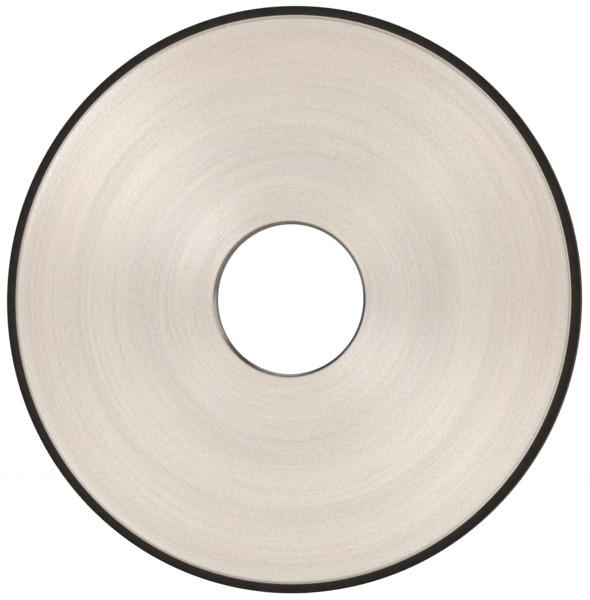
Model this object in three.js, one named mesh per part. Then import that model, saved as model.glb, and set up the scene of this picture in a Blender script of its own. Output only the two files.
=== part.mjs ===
// A straight diamond grinding wheel: a flat aluminium disc with a plain bore, and a thin
// resin and diamond rim bonded round its edge. Millimetres. The wheel stands upright, it
// turns about the Y axis, and its origin is the middle of the wheel.
import * as THREE from "three";

// Driving dimensions of the wheel.
const WHEEL_DIAMETER = 200;
const WHEEL_THICKNESS = 4;
const RIM_DEPTH = 3;
const RIM_EDGE_BREAK = 0.1;
const BORE_DIAMETER = 51;
const BORE_CHAMFER = 1.1;

// The joint between the disc and the rim: a film of adhesive that follows two grooves.
const BOND_THICKNESS = 0.2;
const KEY_COUNT = 2;
const KEY_PITCH = 1.7;
const KEY_MOUTH = 1.2;
const KEY_DEPTH = 0.35;
const KEY_FLANK_ANGLE = THREE.MathUtils.degToRad(45);

// The shallow line turned in each face of the disc, just inside the joint.
const LINE_LIP = 0.35;
const LINE_WIDTH = 0.65;
const LINE_DEPTH = 0.12;

// Flat sides that stand for a full circle.
const SIDES = 96;

const OUTER_RADIUS = WHEEL_DIAMETER / 2;
const BORE_RADIUS = BORE_DIAMETER / 2;
const RIM_INNER_RADIUS = OUTER_RADIUS - RIM_DEPTH;
const DISC_RADIUS = RIM_INNER_RADIUS - BOND_THICKNESS;
const HALF_THICKNESS = WHEEL_THICKNESS / 2;

// One closed ring round the Y axis. The outline holds [radius, height] pairs, and goes
// up the ring's outer side and down its inner side.
function ring(name, outline, material) {
  const points = outline.map(([radius, height]) => new THREE.Vector2(radius, height));
  points.push(points[0].clone());
  const mesh = new THREE.Mesh(new THREE.LatheGeometry(points, SIDES), material);
  mesh.name = name;
  return mesh;
}

// The disc's grooved edge, moved outwards by an offset that is measured square to it.
// The list goes from the wheel's -Y face to its +Y face.
function keyedEdge(offset) {
  const radius = DISC_RADIUS + offset;
  const shrink = offset * Math.tan(KEY_FLANK_ANGLE / 2);
  const mouth = KEY_MOUTH / 2 - shrink;
  const floor = KEY_MOUTH / 2 - KEY_DEPTH / Math.tan(KEY_FLANK_ANGLE) - shrink;
  const points = [[radius, -HALF_THICKNESS]];
  for (let key = 0; key < KEY_COUNT; key++) {
    const middle = (key - (KEY_COUNT - 1) / 2) * KEY_PITCH;
    points.push([radius, middle - mouth]);
    points.push([radius - KEY_DEPTH, middle - floor]);
    points.push([radius - KEY_DEPTH, middle + floor]);
    points.push([radius, middle + mouth]);
  }
  points.push([radius, HALF_THICKNESS]);
  return points;
}

// The turned line in the disc's +Y face, from the lip inwards. Its walls slope at 45 degrees.
function faceLine() {
  const outside = DISC_RADIUS - LINE_LIP;
  const inside = outside - LINE_WIDTH;
  return [
    [outside, HALF_THICKNESS],
    [outside - LINE_DEPTH, HALF_THICKNESS - LINE_DEPTH],
    [inside + LINE_DEPTH, HALF_THICKNESS - LINE_DEPTH],
    [inside, HALF_THICKNESS],
  ];
}

// The wall of the bore with its two chamfers, from the +Y face down to the -Y face.
function boreWall() {
  return [
    [BORE_RADIUS + BORE_CHAMFER, HALF_THICKNESS],
    [BORE_RADIUS, HALF_THICKNESS - BORE_CHAMFER],
    [BORE_RADIUS, BORE_CHAMFER - HALF_THICKNESS],
    [BORE_RADIUS + BORE_CHAMFER, -HALF_THICKNESS],
  ];
}

// The same points on the other face of the wheel, in the opposite order.
function mirrored(points) {
  return points.map(([radius, height]) => [radius, -height]).reverse();
}

// The metal disc that carries the rim and sits on the spindle.
function coreDisc() {
  const outline = [...keyedEdge(0), ...faceLine(), ...boreWall(), ...mirrored(faceLine())];
  const aluminium = new THREE.MeshStandardMaterial({
    color: 0xdfd4c8,
    roughness: 0.35,
    metalness: 1,
  });
  return ring("core_disc", outline, aluminium);
}

// The adhesive film between the disc and the rim.
function bondLine() {
  const outline = [...keyedEdge(BOND_THICKNESS), ...keyedEdge(0).reverse()];
  const adhesive = new THREE.MeshStandardMaterial({
    color: 0x4a4038,
    roughness: 0.6,
    metalness: 0,
  });
  return ring("bond_line", outline, adhesive);
}

// The resin and diamond rim, with two ribs inside that lock into the disc's grooves.
function abrasiveRim() {
  const outerWall = [
    [OUTER_RADIUS - RIM_EDGE_BREAK, -HALF_THICKNESS],
    [OUTER_RADIUS, RIM_EDGE_BREAK - HALF_THICKNESS],
    [OUTER_RADIUS, HALF_THICKNESS - RIM_EDGE_BREAK],
    [OUTER_RADIUS - RIM_EDGE_BREAK, HALF_THICKNESS],
  ];
  const outline = [...outerWall, ...keyedEdge(BOND_THICKNESS).reverse()];
  const resin = new THREE.MeshStandardMaterial({
    color: 0x2e2a26,
    roughness: 0.75,
    metalness: 0,
  });
  return ring("abrasive_rim", outline, resin);
}

const wheel = new THREE.Group();
wheel.add(coreDisc(), bondLine(), abrasiveRim());

export default wheel;
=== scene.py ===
"""Looks of a straight diamond grinding wheel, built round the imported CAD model.

Metres, in the CAD frame: the wheel stands upright, its axis is Y, and its front face
looks towards -Y. Each CAD ring is replaced by a finely lathed piece that takes its section
from the ring and softens the edges that show.
"""

import math

import bpy
import numpy as np
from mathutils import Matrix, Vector, noise


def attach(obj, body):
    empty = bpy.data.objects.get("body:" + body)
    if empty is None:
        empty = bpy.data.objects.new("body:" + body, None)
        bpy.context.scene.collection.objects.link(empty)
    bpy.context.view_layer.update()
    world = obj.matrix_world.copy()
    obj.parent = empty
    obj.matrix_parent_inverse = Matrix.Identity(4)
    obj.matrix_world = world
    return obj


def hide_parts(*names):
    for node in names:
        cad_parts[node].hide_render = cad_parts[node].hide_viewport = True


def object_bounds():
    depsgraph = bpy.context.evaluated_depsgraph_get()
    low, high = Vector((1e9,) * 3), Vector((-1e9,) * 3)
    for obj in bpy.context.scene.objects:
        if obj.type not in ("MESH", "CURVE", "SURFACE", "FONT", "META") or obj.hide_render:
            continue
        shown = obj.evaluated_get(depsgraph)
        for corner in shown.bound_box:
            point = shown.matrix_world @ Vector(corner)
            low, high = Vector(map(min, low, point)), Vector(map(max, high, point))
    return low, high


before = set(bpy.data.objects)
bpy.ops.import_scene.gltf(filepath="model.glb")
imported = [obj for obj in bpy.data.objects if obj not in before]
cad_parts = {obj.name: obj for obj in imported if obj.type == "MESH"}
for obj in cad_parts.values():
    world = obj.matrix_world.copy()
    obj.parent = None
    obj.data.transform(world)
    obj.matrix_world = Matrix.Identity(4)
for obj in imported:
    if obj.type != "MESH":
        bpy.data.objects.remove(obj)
cad_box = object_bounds()

MM = 0.001

# Camera: where it stands round the wheel, how far off, and what it aims at.
CAMERA_AZIMUTH = math.radians(12.65)
CAMERA_ELEVATION = math.radians(-1.68)
CAMERA_DISTANCE = 1380.5 * MM
CAMERA_LENS = 243.5
SENSOR_WIDTH = 36
AIM_RIGHT = 2.0 * MM
AIM_DOWN = 0.33 * MM

# Mesh fineness, and how close two sizes are when they count as the same.
DISC_SIDES = 480
RIM_SIDES = 960
RING_SPACING = 1.25 * MM
RIM_SPACING = 0.4 * MM
CORNER_STEPS = 3
DISC_SHARP_ANGLE = 30
RIM_SHARP_ANGLE = 60
SAME = 0.002 * MM

# Metal colours and finish.
METAL = (0.704, 0.638, 0.571)
WARM_METAL = (0.704, 0.620, 0.542)
# Darkened as painted shade: the chamfers and the bore's wall take this dark colour.
SHADED_BORE_METAL = (0.165, 0.145, 0.123)
FACE_ROUGHNESS = 0.35
FACE_STRETCH = 0.8
BORE_STRETCH = 0.4
QUARTER_TURN = 0.25

# Marks that run round the faces: the width of one, its length in radians, and a seed.
BANDS = {"ring": 5.0 * MM, "arc": 2.0, "seed": 1.7}
ARCS = {"ring": 1.7 * MM, "arc": 1.2, "seed": 8.1}
LINES = {"ring": 0.65 * MM, "arc": 0.9, "seed": 3.3}
CLOUDS = {"ring": 7.0 * MM, "arc": 0.30, "seed": 5.5}
GRAIN_SIZE = 1.05 * MM

# How strongly each kind of mark shows in the metal's tone.
BAND_TONE = 0.05
ARC_TONE = 0.19
LINE_TONE = 0.26
GRAIN_TONE = 0.57
# What is added so that the metal's tone is 1 on average.
MEAN_TONE = 1 - (BAND_TONE + ARC_TONE + LINE_TONE + GRAIN_TONE) / 2

# Wear and painted light on the faces: the side with more stain, the side towards which the
# turned line's painted shade and its lip's painted highlight lean, how far in from the line its
# dirt and painted shade go and how far out from the bore the painted shade at the bore's edge
# goes, how much the line's painted light leans, and a few dark spots (x, z, size).
STAINED_SIDE = (0.25, 0, 0.97)
LINE_LIGHT_SIDE = (0.80, 0, 0.60)
LINE_DIRT_AND_SHADE = 0.7 * MM
BORE_EDGE_SHADE = 0.5 * MM
LINE_SIDE_LIGHT = 0.22
DARK_SPOT_TONE = 0.74
DARK_SPOTS = ((-27 * MM, -77 * MM, 0.5 * MM), (8 * MM, -46 * MM, 0.4 * MM),
        (-34 * MM, -11 * MM, 0.4 * MM), (-8.3 * MM, -89.4 * MM, 0.5 * MM),
        (21.2 * MM, -85 * MM, 0.45 * MM))

# Adhesive and resin colours, and the scale of their marks and the bore's.
DARK_ADHESIVE = (0.05, 0.042, 0.034, 1)
PALE_ADHESIVE = (0.10, 0.087, 0.073, 1)
OUTER_RESIN = (0.0112, 0.0090, 0.0068, 1)
INNER_RESIN = (0.0230, 0.0172, 0.0126, 1)
MOTTLE_SIZE = 1.2 * MM
CHATTER_SIZE = 0.5 * MM
SPECK_SIZE = 0.28 * MM
RESIN_PATCH = 3 * MM
RESIN_GRAIN = 0.6 * MM

# Relief and edges of the pieces.
EDGE_RADIUS = 0.06 * MM
RING_RELIEF = 0.004 * MM
RING_WAVE = 3.1 * MM
GRIT_RELIEF = 0.012 * MM
GRIT_SIZE = 0.5 * MM
BOND_SINK = 0.03 * MM

# Studio: the floor, and how bright the surroundings are.
FLOOR_HALF = 3.0
FLOOR_GREY = 0.3
FLOOR_GLOW = 0.80
SIDE_GLOW = 0.18
FRONT_GLOW = 0.86
FRONT_REACH = 0.75
LOW_SHARE = 0.95
HIGH_SHARE = 1.17
HIGH_REACH = 0.4
BACKDROP_GLOW = 1.05


# ------------------------------------------------------------------ sections

def section_points(node):
    """The corners of a CAD ring's section, as a set of (radius, y) pairs."""
    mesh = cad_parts[node].data
    places = np.empty(len(mesh.vertices) * 3)
    mesh.vertices.foreach_get("co", places)
    places = places.reshape(-1, 3)
    radius = np.hypot(places[:, 0], places[:, 2])
    return {(round(r, 6), round(y, 6)) for r, y in zip(radius, places[:, 1])}


def by_height(points):
    """Points of a wall, from the front of the wheel to its back."""
    return sorted(points, key=lambda point: point[1])


def rounded(outline, radius, sharp):
    """A closed outline with its corners turned into short curves, but for the sharp ones."""
    made = []
    before = outline[-1:] + outline[:-1]
    after = outline[1:] + outline[:1]
    for last, corner, following in zip(before, outline, after):
        if corner in sharp:
            made.append(corner)
            continue
        middle = Vector(corner)
        into = Vector(last) - middle
        out = Vector(following) - middle
        reach = min(radius, into.length / 3, out.length / 3)
        start = middle + into.normalized() * reach
        end = middle + out.normalized() * reach
        for step in range(CORNER_STEPS + 1):
            share = step / CORNER_STEPS
            made.append(tuple(start.lerp(middle, share).lerp(middle.lerp(end, share), share)))
    return made


def densified(outline, spacing, place=lambda point: point):
    """A closed outline with points added along its long stretches."""
    made = []
    for point, following in zip(outline, outline[1:] + outline[:1]):
        made.append(point)
        start, end = Vector(point), Vector(following)
        count = int((end - start).length / spacing)
        for step in range(1, count):
            made.append(place(tuple(start.lerp(end, step / count))))
    return made


def lathe(name, outline, sides):
    """A closed ring turned from an outline of (radius, y) pairs."""
    count = len(outline)
    section = np.array(outline)
    turn = np.arange(sides) * 2 * math.pi / sides
    places = np.empty((sides, count, 3))
    places[:, :, 0] = np.outer(np.cos(turn), section[:, 0])
    places[:, :, 1] = section[:, 1]
    places[:, :, 2] = np.outer(np.sin(turn), section[:, 0])
    faces = []
    for side in range(sides):
        here, there = side * count, (side + 1) % sides * count
        for i in range(count):
            j = (i + 1) % count
            faces.append((here + i, here + j, there + j, there + i))
    mesh = bpy.data.meshes.new(name)
    mesh.from_pydata(places.reshape(-1, 3).tolist(), [], faces)
    mesh.validate()
    piece = bpy.data.objects.new(name, mesh)
    bpy.context.scene.collection.objects.link(piece)
    return piece


def smoothed(piece, angle):
    """Smooth shading, with sharp edges where two faces meet at more than the angle."""
    mesh = piece.data
    mesh.shade_smooth()
    mesh.set_sharp_from_angle(angle=math.radians(angle))


# Corners and sizes of the three CAD rings.
core_points = section_points("core_disc")
bond_points = section_points("bond_line")
rim_points = section_points("abrasive_rim")
disc_edge = by_height(core_points & bond_points)
rim_inside = by_height(rim_points & bond_points)
rim_outside = by_height(rim_points - bond_points)
disc_back = sorted((p for p in core_points - bond_points if p[1] > 0), reverse=True)
disc_front = sorted(p for p in core_points - bond_points if p[1] < 0)
half_thickness = max(y for _, y in core_points)
outer_radius = max(r for r, _ in rim_points)
chamfer_radius, line_inside, line_outside = sorted(
    r for r, y in disc_back if half_thickness - y < SAME)
bore_radius = min(r for r, _ in core_points)
disc_radius = max(r for r, _ in core_points)
rim_radius = rim_inside[0][0]


# ----------------------------------------------------------------- materials

class Nodes:
    """A node tree, with short ways to add and join its nodes."""

    def __init__(self, tree):
        self.tree = tree

    def add(self, kind, **settings):
        made = self.tree.nodes.new(kind)
        for setting, value in settings.items():
            setattr(made, setting, value)
        return made

    def feed(self, socket, value):
        if isinstance(value, bpy.types.NodeSocket):
            self.tree.links.new(value, socket)
        else:
            socket.default_value = value

    def math(self, operation, *values):
        made = self.add("ShaderNodeMath", operation=operation)
        for socket, value in zip(made.inputs, values):
            self.feed(socket, value)
        return made.outputs[0]

    def vector(self, operation, *values):
        made = self.add("ShaderNodeVectorMath", operation=operation)
        for socket, value in zip(made.inputs, values):
            self.feed(socket, value)
        return made.outputs["Value" if operation in ("LENGTH", "DOT_PRODUCT") else "Vector"]

    def noise(self, vector, scale, detail=2.0, roughness=0.5):
        made = self.add("ShaderNodeTexNoise")
        self.feed(made.inputs["Vector"], vector)
        self.feed(made.inputs["Scale"], scale)
        self.feed(made.inputs["Detail"], detail)
        self.feed(made.inputs["Roughness"], roughness)
        return made.outputs[0]

    def cells(self, vector, scale):
        made = self.add("ShaderNodeTexVoronoi")
        self.feed(made.inputs["Vector"], vector)
        self.feed(made.inputs["Scale"], scale)
        return made.outputs["Distance"]

    def remap(self, value, low, high, to_low=0.0, to_high=1.0, kind="LINEAR"):
        made = self.add("ShaderNodeMapRange", interpolation_type=kind)
        for name, number in (("Value", value), ("From Min", low), ("From Max", high),
                             ("To Min", to_low), ("To Max", to_high)):
            self.feed(made.inputs[name], number)
        return made.outputs["Result"]

    def mix(self, share, first, second):
        made = self.add("ShaderNodeMix", data_type="RGBA")
        self.feed(made.inputs["Factor"], share)
        self.feed(made.inputs[6], first)
        self.feed(made.inputs[7], second)
        return made.outputs[2]

    def ramp(self, value, stops):
        """A smooth curve of grey over a value, from (position, grey) stops."""
        made = self.add("ShaderNodeValToRGB")
        ramp = made.color_ramp
        ramp.interpolation = "EASE"
        while len(ramp.elements) < len(stops):
            ramp.elements.new(1.0)
        for element, (position, shade) in zip(ramp.elements, stops):
            element.position = position
            element.color = (shade, shade, shade, 1)
        self.feed(made.inputs[0], value)
        return made.outputs[0]

    def bump(self, height, distance):
        made = self.add("ShaderNodeBump")
        self.feed(made.inputs["Height"], height)
        self.feed(made.inputs["Distance"], distance)
        self.feed(made.inputs["Strength"], 1.0)
        return made.outputs[0]

    def coordinate(self, kind):
        return self.add("ShaderNodeTexCoord").outputs[kind]

    def polar(self, position):
        """A position's distance from the wheel's axis, and its direction from it."""
        flat = self.vector("MULTIPLY", position, (1, 0, 1))
        return self.vector("LENGTH", flat), self.vector("NORMALIZE", flat)

    def part(self, vector, axis):
        """One of a vector's three numbers, named X, Y or Z."""
        split = self.add("ShaderNodeSeparateXYZ")
        self.feed(split.inputs[0], vector)
        return split.outputs[axis]

    def rings(self, height, direction, around):
        """Noise coordinates from a height across the marks and a direction round the axis."""
        across = self.add("ShaderNodeCombineXYZ")
        self.feed(across.inputs["Y"], height)
        return self.vector("ADD", across.outputs[0], self.scaled(direction, around))

    def turned(self, radius, direction, ring, arc, seed):
        """Noise coordinates in which one ring is so thin and one arc so long, in radians."""
        height = self.math("MULTIPLY_ADD", radius, 1 / ring, seed)
        return self.rings(height, direction, 1 / arc)

    def scaled(self, vector, factor):
        """A vector or colour times a number."""
        made = self.add("ShaderNodeVectorMath", operation="SCALE")
        self.feed(made.inputs[0], vector)
        self.feed(made.inputs["Scale"], factor)
        return made.outputs[0]

    def sum(self, *parts, start=0.0):
        """The sum of (value, weight) pairs, from a start."""
        total = start
        for value, weight in parts:
            total = self.math("MULTIPLY_ADD", value, weight, total)
        return total

    def tinted(self, first, second, share):
        """A colour that goes from the first to the second, and a little past both."""
        made = self.add("ShaderNodeMix", data_type="VECTOR", clamp_factor=False)
        self.feed(made.inputs["Factor"], share)
        self.feed(made.inputs[4], first)
        self.feed(made.inputs[5], second)
        return made.outputs[1]


class Finish(Nodes):
    """A material's nodes, with its shader's own sockets at hand."""

    def __init__(self, name):
        self.material = bpy.data.materials.new(name)
        self.material.use_nodes = True
        super().__init__(self.material.node_tree)
        self.shader = self.tree.nodes["Principled BSDF"]

    def surface(self, colour, roughness, normal):
        """Joins the three things that vary over a surface to its shader."""
        self.feed(self.shader.inputs["Base Color"], colour)
        self.feed(self.shader.inputs["Roughness"], roughness)
        self.feed(self.shader.inputs["Normal"], normal)

    def constant(self, socket, value):
        """A number or colour that is the same all over the surface."""
        self.shader.inputs[socket].default_value = value

    def turn_marks(self, stretch):
        """Bare metal whose highlights are stretched across the turning lines."""
        tangent = self.add("ShaderNodeTangent", direction_type="RADIAL", axis="Y")
        self.feed(self.shader.inputs["Tangent"], tangent.outputs[0])
        self.constant("Metallic", 1.0)
        self.constant("Anisotropic", stretch)
        self.constant("Anisotropic Rotation", QUARTER_TURN)


def dark_spots(nodes, position):
    """One everywhere, and less in a few small dark spots on the faces."""
    flat = nodes.vector("MULTIPLY", position, (1, 0, 1))
    depth = 1.0
    for x, z, size in DARK_SPOTS:
        gap = nodes.vector("LENGTH", nodes.vector("SUBTRACT", flat, (x, 0, z)))
        near = nodes.remap(gap, 0.3 * size, size, DARK_SPOT_TONE, 1.0)
        depth = nodes.math("MULTIPLY", near, depth)
    return depth


def stains(nodes, share, direction, arcs):
    """The brown stain: it lies near the rim, in four places round it, and thins out below."""
    outwards = nodes.ramp(share, (
        (0.55, 0.0), (0.70, 0.20), (0.80, 0.60), (0.86, 0.80), (0.89, 0.90), (0.92, 0.85),
        (0.95, 0.65), (0.97, 0.30),
    ))
    mirrored = nodes.vector("MULTIPLY", direction, (1, 0, -1))
    quarters = nodes.math("POWER", nodes.vector("DOT_PRODUCT", direction, mirrored), 2.0)
    upper = nodes.vector("DOT_PRODUCT", direction, STAINED_SIDE)
    upper = nodes.remap(upper, -0.9, 0.3, 0.1, 1.0, "SMOOTHSTEP")
    placed = nodes.math("MULTIPLY", outwards, nodes.math("MULTIPLY", quarters, upper))
    return nodes.math("MULTIPLY", placed, nodes.remap(arcs, 0.3, 0.7, 0.1, 1.9))


def line_dirt_and_shade(nodes, radius, direction):
    """Dirt and painted shade in the turned line and beside it, the lip less dark; on one side of
    the wheel the line's painted shade is deeper and the lip lighter as a painted highlight, on
    the other side the reverse.
    """
    margin = nodes.remap(radius, line_inside - LINE_DIRT_AND_SHADE, disc_radius)
    # Darker in the line and at the disc's edge, partly dirt and partly painted shade in the
    # recess; the lip between is less dark.
    dirt_and_shade = nodes.ramp(margin, (
        (0.0, 1.0), (0.20, 0.98), (0.40, 0.89), (0.58, 0.79), (0.73, 0.56), (0.82, 0.73),
        (0.90, 0.82), (1.0, 0.61),
    ))
    # Painted light by side: on the side given above, the line's painted shade is deeper and the
    # lip lighter as a painted highlight; on the opposite side the reverse.
    side_light = nodes.ramp(margin, (
        (0.0, 0.50), (0.20, 0.37), (0.35, 0.25), (0.50, 0.14), (0.62, 0.24), (0.72, 0.50),
        (0.82, 0.90), (0.93, 1.0),
    ))
    side_light = nodes.remap(side_light, 0.0, 1.0, -LINE_SIDE_LIGHT, LINE_SIDE_LIGHT)
    facing = nodes.vector("DOT_PRODUCT", direction, LINE_LIGHT_SIDE)
    return nodes.math("MULTIPLY", dirt_and_shade, nodes.math("MULTIPLY_ADD", side_light, facing, 1.0))


def face_metal():
    """The turned faces: fine circular lines over a sandy grain, faint bands of tone, stains and
    dark spots, with painted shade and a painted highlight at the turned line and painted shade
    by the bore.
    """
    nodes = Finish("face_metal")
    position = nodes.coordinate("Object")
    radius, direction = nodes.polar(position)
    share = nodes.remap(radius, 0, outer_radius)

    bands = nodes.noise(nodes.turned(radius, direction, **BANDS), 1.0, 2.0)
    arcs = nodes.noise(nodes.turned(radius, direction, **ARCS), 1.0, 2.0, 0.6)
    lines = nodes.noise(nodes.turned(radius, direction, **LINES), 1.0, 2.0, 0.8)
    clouds = nodes.noise(nodes.turned(radius, direction, **CLOUDS), 1.0, 1.0)
    grain = nodes.noise(position, 1 / GRAIN_SIZE, 3.0, 1.0)
    tone = nodes.sum((bands, BAND_TONE), (arcs, ARC_TONE), (lines, LINE_TONE),
                     (grain, GRAIN_TONE), start=MEAN_TONE)

    polish = nodes.ramp(share, (
        (0.28, 0.38), (0.38, 0.52), (0.45, 0.38), (0.52, 0.32), (0.56, 0.40), (0.61, 0.60),
        (0.67, 0.65), (0.73, 0.49), (0.81, 0.60), (0.86, 0.64), (0.90, 0.44), (0.93, 0.45),
        (0.95, 0.50),
    ))
    polished = nodes.remap(polish, 0.0, 1.0, 0.90, 1.10)
    # Dirt, painted shade and a painted highlight in and beside the turned line.
    dirt_and_shade = line_dirt_and_shade(nodes, radius, direction)
    stain = stains(nodes, share, direction, arcs)
    marks = nodes.math("MULTIPLY", dark_spots(nodes, position), nodes.sum((stain, -0.01), start=1.005))
    # Painted shade: the face darker close to the chamfer, where its edge rounds down into it.
    bore_edge_shade = nodes.remap(radius, chamfer_radius, chamfer_radius + BORE_EDGE_SHADE, 0.70, 1.0)
    marks = nodes.math("MULTIPLY", marks, bore_edge_shade)
    shading = nodes.math("MULTIPLY", nodes.math("MULTIPLY", tone, polished),
                         nodes.math("MULTIPLY", dirt_and_shade, marks))

    warmth = nodes.ramp(share, ((0.5, 0.0), (0.80, 0.50), (0.90, 0.70), (0.95, 0.0)))
    warmth = nodes.sum((clouds, 1.6), (warmth, 1.0), (stain, 1.0), start=-0.8)
    tint = nodes.tinted(METAL, WARM_METAL, warmth)
    rough = nodes.remap(lines, 0.3, 0.7, FACE_ROUGHNESS - 0.03, FACE_ROUGHNESS + 0.03)
    height = nodes.sum((arcs, 0.5), (lines, 1.0))
    nodes.surface(nodes.scaled(tint, shading), rough, nodes.bump(height, 0.002 * MM))
    nodes.turn_marks(FACE_STRETCH)
    return nodes.material


def shaded_bore_metal():
    """The chamfers and the wall of the bore: cut dull, their colour darkened as painted shade,
    the wall darkest with the most painted shade.
    """
    nodes = Finish("shaded_bore_metal")
    position = nodes.coordinate("Object")
    radius, direction = nodes.polar(position)
    height = nodes.math("MULTIPLY", nodes.part(position, "Y"), 1 / CHATTER_SIZE)
    lines = nodes.noise(nodes.rings(height, direction, 4.0), 1.0, 3.0, 0.6)
    # Painted shade: darker towards the bore's wall, darkest on it.
    wall = nodes.remap(radius, bore_radius + 0.02 * MM, bore_radius + 0.3 * MM, 0.3, 1.0)
    shading = nodes.math("MULTIPLY", wall, nodes.remap(lines, 0.25, 0.75, 0.72, 1.28))
    rough = nodes.remap(lines, 0.3, 0.7, 0.22, 0.32)
    nodes.surface(nodes.scaled(SHADED_BORE_METAL, shading), rough, nodes.bump(lines, 0.004 * MM))
    nodes.turn_marks(BORE_STRETCH)
    return nodes.material


def bond_adhesive():
    """Dark brown adhesive, slightly glossy where it was squeezed out and trimmed."""
    nodes = Finish("bond_adhesive")
    position = nodes.coordinate("Object")
    mottle = nodes.noise(position, 1 / MOTTLE_SIZE, 3.0)
    colour = nodes.mix(mottle, DARK_ADHESIVE, PALE_ADHESIVE)
    rough = nodes.remap(mottle, 0.3, 0.7, 0.5, 0.65)
    nodes.surface(colour, rough, nodes.bump(mottle, 0.02 * MM))
    nodes.constant("Specular IOR Level", 0.2)
    return nodes.material


def grit_resin():
    """Black resin with fine grit in it: pale specks, a little sparkle, a sandy surface."""
    nodes = Finish("grit_resin")
    position = nodes.coordinate("Object")
    radius, _ = nodes.polar(position)
    speck = nodes.remap(nodes.cells(position, 1 / SPECK_SIZE), 0.10, 0.28, 1.0, 0.0,
                        "SMOOTHSTEP")
    mottle = nodes.noise(position, 1 / RESIN_PATCH, 4.0, 0.6)
    fine = nodes.noise(position, 1 / RESIN_GRAIN, 3.0, 0.6)
    body = nodes.mix(nodes.remap(radius, outer_radius, rim_radius), OUTER_RESIN, INNER_RESIN)
    shading = nodes.sum((mottle, 0.9), (fine, 0.8), (speck, 1.2), start=0.05)
    rough = nodes.remap(speck, 0.0, 1.0, 0.62, 0.4)
    height = nodes.sum((speck, 0.6), (fine, 1.0))
    nodes.surface(nodes.scaled(body, shading), rough, nodes.bump(height, 0.02 * MM))
    nodes.constant("Specular IOR Level", 0.1)
    return nodes.material


# -------------------------------------------------------------------- pieces

def turned_face(point):
    """A point of a flat face, let in by the shallow waves that the lathe tool leaves."""
    radius, y = point
    if half_thickness - abs(y) > SAME or radius > line_outside:
        return point
    wave = 0.5 + 0.5 * noise.noise((radius / RING_WAVE, 5.0 * y / half_thickness, 0.5))
    return radius, y - math.copysign(RING_RELIEF * wave, y)


def make_disc():
    """The core, with its face lines, its bore and its hidden keyed edge."""
    outline = rounded(disc_edge + disc_back + disc_front, EDGE_RADIUS, sharp=disc_edge[1:-1])
    disc = lathe("turned_disc", densified(outline, RING_SPACING, turned_face), DISC_SIDES)
    smoothed(disc, DISC_SHARP_ANGLE)
    disc.data.materials.append(face_metal())
    disc.data.materials.append(shaded_bore_metal())
    for face in disc.data.polygons:
        radius = math.hypot(face.center.x, face.center.z)
        face.material_index = int(radius < chamfer_radius - EDGE_RADIUS / 2)
    return disc


def make_bond():
    """The adhesive film, let in a little below both faces."""
    def sunk(point):
        radius, y = point
        return radius, math.copysign(min(abs(y), half_thickness - BOND_SINK), y)

    outline = [sunk(point) for point in rim_inside + disc_edge[::-1]]
    bond = lathe("bond_bead", densified(outline, RIM_SPACING), DISC_SIDES)
    smoothed(bond, DISC_SHARP_ANGLE)
    bond.data.materials.append(bond_adhesive())
    return bond


def make_rim():
    """The abrasive ring, with broken edges and a sandy skin on its open sides."""
    outline = rounded(rim_outside + rim_inside[::-1], EDGE_RADIUS, sharp=rim_inside)
    rim = lathe("grit_rim", densified(outline, RIM_SPACING), RIM_SIDES)
    smoothed(rim, RIM_SHARP_ANGLE)
    hidden = rim_radius + SAME
    normals = [vertex.normal.copy() for vertex in rim.data.vertices]
    for vertex, normal in zip(rim.data.vertices, normals):
        place = vertex.co
        if math.hypot(place.x, place.z) > hidden:
            depth = 0.5 + 0.5 * noise.noise(place / GRIT_SIZE)
            place -= normal * GRIT_RELIEF * depth
    rim.data.materials.append(grit_resin())
    return rim


for piece, node, slot in (
    (make_disc(), "core_disc", "turned_aluminium"),
    (make_bond(), "bond_line", "bond_film"),
    (make_rim(), "abrasive_rim", "diamond_resin"),
):
    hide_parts(node)
    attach(piece, "root")


# --------------------------------------------------------------------- stage

def direction_of(azimuth, elevation):
    """Unit vector from the wheel's centre; azimuth 0 is in front, positive to the right."""
    return Vector((math.sin(azimuth) * math.cos(elevation),
                   -math.cos(azimuth) * math.cos(elevation),
                   math.sin(elevation)))


def make_camera():
    """The camera, aimed a little beside the middle of the wheel's front face."""
    front = Vector((0, cad_box[0].y, 0))
    back = direction_of(CAMERA_AZIMUTH, CAMERA_ELEVATION)
    turn = back.to_track_quat("Z", "Y")
    aim = turn @ Vector((AIM_RIGHT, -AIM_DOWN, 0))
    data = bpy.data.cameras.new("camera")
    data.lens = CAMERA_LENS
    data.sensor_width = SENSOR_WIDTH
    camera = bpy.data.objects.new("camera", data)
    bpy.context.scene.collection.objects.link(camera)
    camera.location = front + back * CAMERA_DISTANCE
    towards = front + aim - camera.location
    camera.rotation_mode = "QUATERNION"
    camera.rotation_quaternion = towards.to_track_quat("-Z", "Y")
    bpy.context.scene.camera = camera


def make_softbox(name, azimuth, elevation, distance, size, power, colour=(1, 1, 1)):
    """A round soft light that faces the wheel's centre, with its angles in degrees."""
    data = bpy.data.lights.new(name, "AREA")
    data.shape = "DISK"
    data.size = size
    data.energy = power
    data.color = colour
    light = bpy.data.objects.new(name, data)
    bpy.context.scene.collection.objects.link(light)
    out = direction_of(math.radians(azimuth), math.radians(elevation))
    light.location = out * distance
    light.rotation_mode = "QUATERNION"
    light.rotation_quaternion = out.to_track_quat("Z", "Y")


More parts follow.
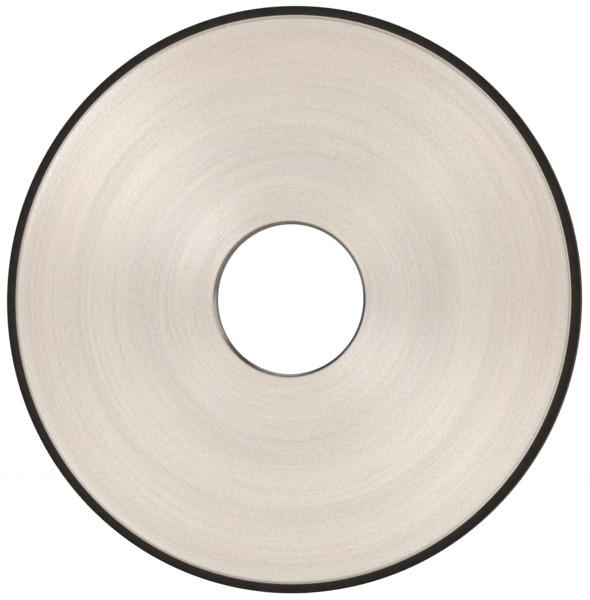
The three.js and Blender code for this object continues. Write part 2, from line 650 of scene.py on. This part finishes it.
def make_world():
    """A white studio: bright in front of the wheel and behind it, dimmer to its sides."""
    world = bpy.data.worlds.new("studio")
    bpy.context.scene.world = world
    world.use_nodes = True
    nodes = Nodes(world.node_tree)
    ray = nodes.coordinate("Generated")
    ahead = nodes.math("ABSOLUTE", nodes.part(ray, "Y"))
    glow = nodes.remap(ahead, 0.0, FRONT_REACH, SIDE_GLOW, FRONT_GLOW, "SMOOTHSTEP")
    rise = nodes.remap(nodes.part(ray, "Z"), 0.0, HIGH_REACH, LOW_SHARE, HIGH_SHARE)
    strength = nodes.add("ShaderNodeMix")
    nodes.feed(strength.inputs[0], nodes.add("ShaderNodeLightPath").outputs["Is Camera Ray"])
    nodes.feed(strength.inputs[2], nodes.math("MULTIPLY", glow, rise))
    nodes.feed(strength.inputs[3], BACKDROP_GLOW)
    background = world.node_tree.nodes["Background"]
    nodes.feed(background.inputs["Color"], (1, 1, 1, 1))
    nodes.feed(background.inputs["Strength"], strength.outputs[0])


def make_floor():
    """A plain pale floor at the wheel's lowest point."""
    mesh = bpy.data.meshes.new("floor")
    half, z = FLOOR_HALF, cad_box[0].z
    corners = ((-half, -half, z), (half, -half, z), (half, half, z), (-half, half, z))
    mesh.from_pydata(corners, [], [(0, 1, 2, 3)])
    floor = bpy.data.objects.new("floor", mesh)
    bpy.context.scene.collection.objects.link(floor)
    nodes = Finish("pale_floor")
    nodes.constant("Base Color", (FLOOR_GREY, FLOOR_GREY, FLOOR_GREY, 1))
    nodes.constant("Roughness", 0.9)
    nodes.constant("Specular IOR Level", 0.0)
    nodes.constant("Emission Color", (1, 1, 1, 1))
    nodes.constant("Emission Strength", FLOOR_GLOW)
    floor.data.materials.append(nodes.material)


make_camera()
make_world()
make_floor()
make_softbox("key", azimuth=-55, elevation=26, distance=1.15, size=0.64, power=3.15,
             colour=(0.88, 0.95, 1.0))
make_softbox("fill", azimuth=41, elevation=39, distance=1.6, size=0.7, power=3.8)
make_softbox("edge", azimuth=-70, elevation=4, distance=1.0, size=0.5, power=0.8)
make_softbox("side", azimuth=84, elevation=18, distance=1.1, size=0.9, power=5.5)
make_softbox("top", azimuth=186, elevation=68, distance=1.1, size=1.0, power=10.0)
bpy.context.scene.view_settings.view_transform = "Standard"
